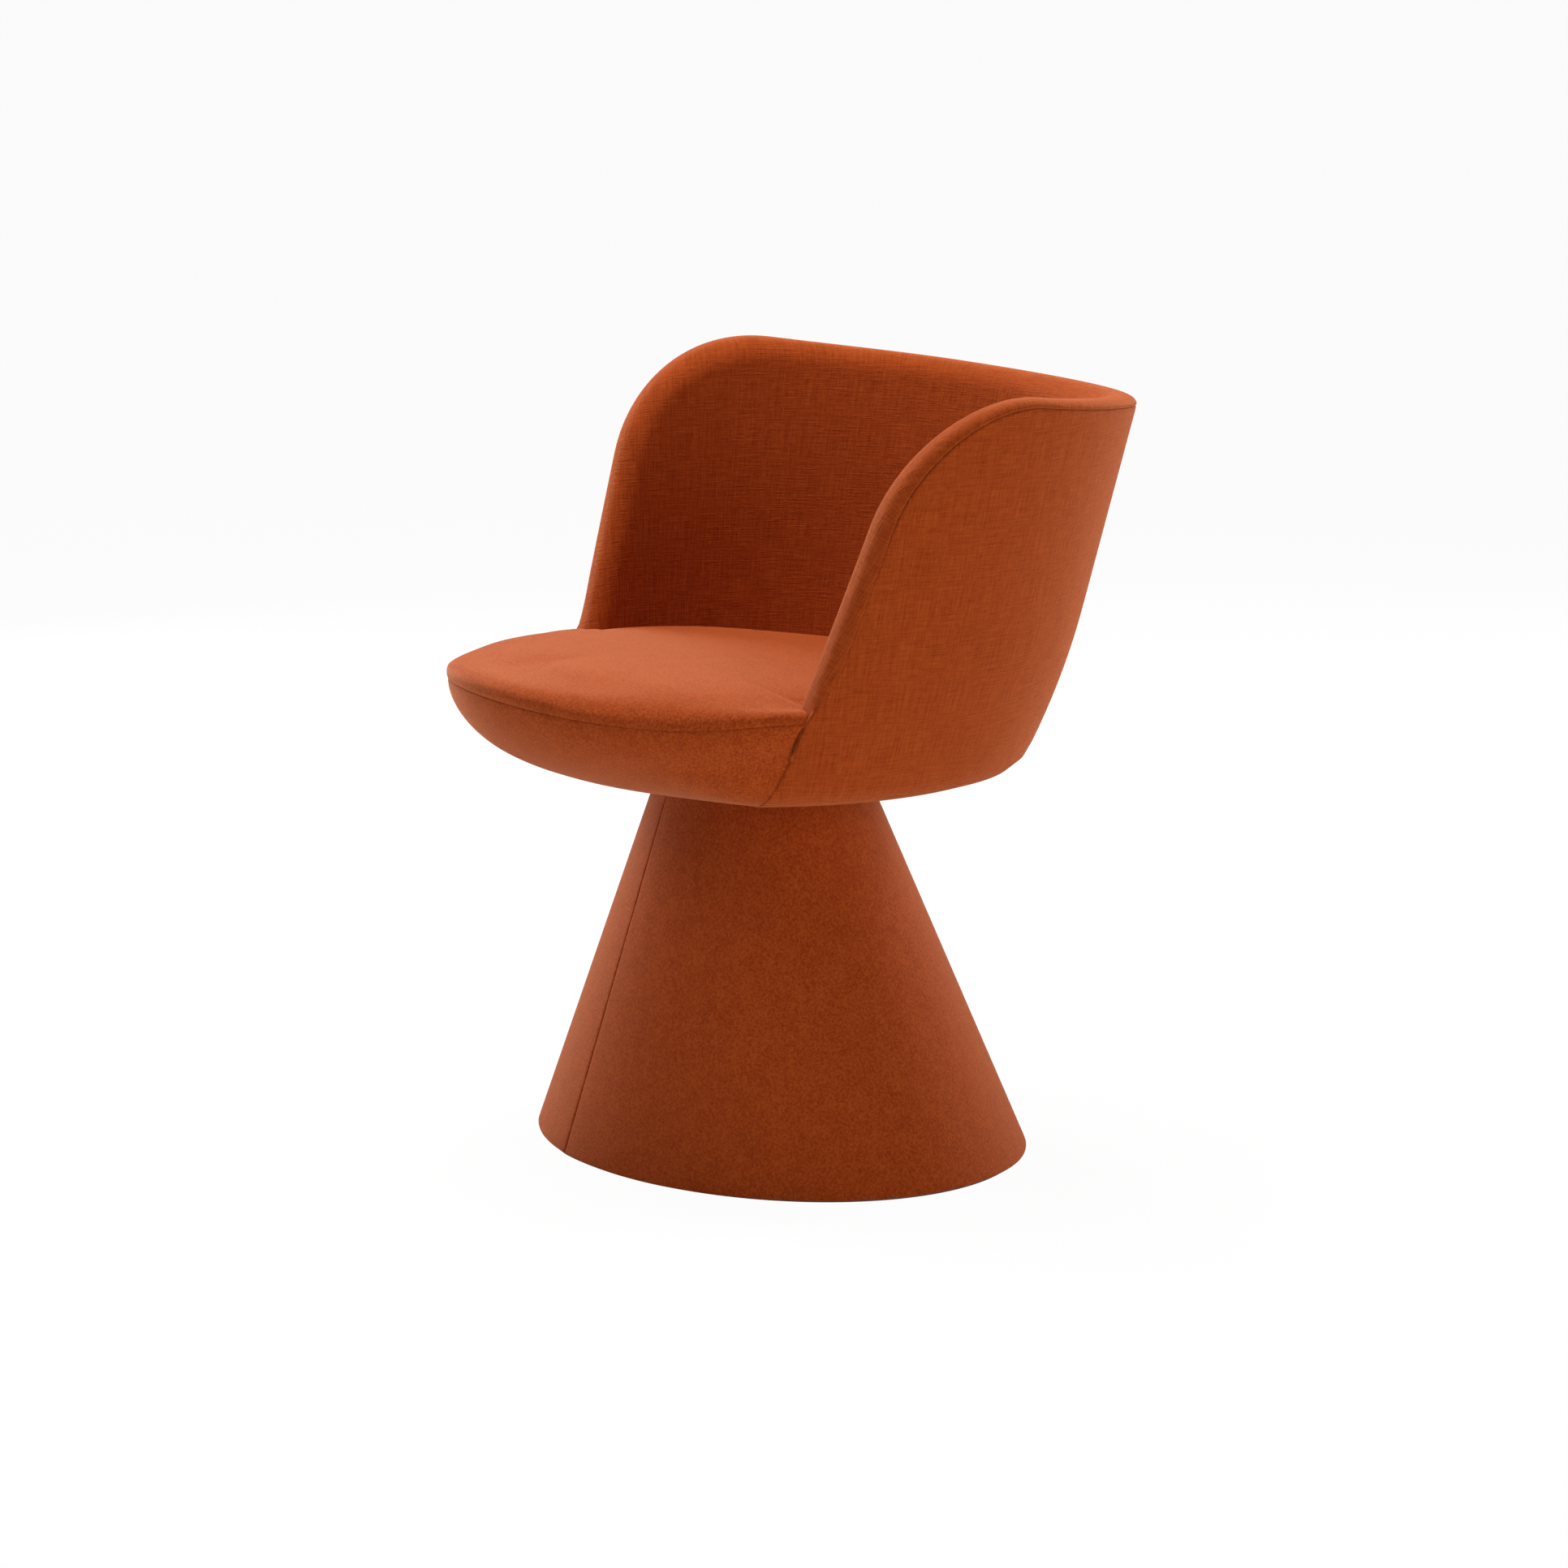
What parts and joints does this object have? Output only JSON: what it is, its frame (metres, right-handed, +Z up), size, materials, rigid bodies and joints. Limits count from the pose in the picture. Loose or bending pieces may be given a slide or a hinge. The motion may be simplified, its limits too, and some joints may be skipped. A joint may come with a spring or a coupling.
{
  "type": "pedestal armchair",
  "caption": "Upholstered tub armchair: a reclined wrap-round back with rounded arms over a crowned seat and rounded underside, turning on a covered conical pedestal.",
  "frame": {"origin": "on the floor, under the swivel axis", "axes": "+Z up along the swivel axis; the chair faces -Y at rest; +X is the sitter's left"},
  "size_m": [0.672, 0.6533, 0.741],
  "materials": {
    "rust_linen": "slubby linen-like cross weave",
    "rust_felt": "fine felted wool-like cloth",
    "foam": "moulded open-cell foam",
    "moulded_shell": "moulded, textured",
    "plywood": "birch plywood, unfinished",
    "bent_board": "bending board, unfinished",
    "black_steel": "powder coated, satin",
    "bright_steel": "machined, zinc plated",
    "bearing_plastic": "plain moulded",
    "rim_plastic": "matt black",
    "glide_felt": "pressed felt"
  },
  "bodies": {
    "pedestal": {"floor_rim": "rim_plastic", "floor_glides": "glide_felt", "centre_glide": "glide_felt", "floor_plate": "black_steel", "bottom_former": "plywood", "former_screws": "bright_steel", "top_former": "plywood", "flange_screws": "bright_steel", "left_base_shell": "bent_board", "right_base_shell": "bent_board", "left_base_cover": "rust_felt", "right_base_cover": "rust_felt", "column_tube": "black_steel", "column_flange": "black_steel", "column_gussets": "black_steel", "bearing_housing": "bright_steel", "upper_bush": "bearing_plastic", "lower_bush": "bearing_plastic", "thrust_washer": "bearing_plastic"},
    "seat": {"swivel_spindle": "bright_steel", "spindle_clip": "bright_steel", "swivel_plate": "black_steel", "plate_bolts": "bright_steel", "plate_washers": "bright_steel", "mount_block": "plywood", "tee_nuts": "bright_steel", "seat_pan": "moulded_shell", "dish_foam": "foam", "dish_cover": "rust_felt", "seat_foam": "foam", "seat_cover": "rust_felt", "back_shell": "moulded_shell", "back_foam": "foam", "back_inner_cover": "rust_linen", "back_outer_cover": "rust_linen"}
  },
  "joints": [
    {"name": "seat_swivel", "type": "hinge", "parent": "pedestal", "child": "seat", "pos_m": [0, 0, 0.33], "axis": [0, 0, 1], "continuous": true}
  ]
}
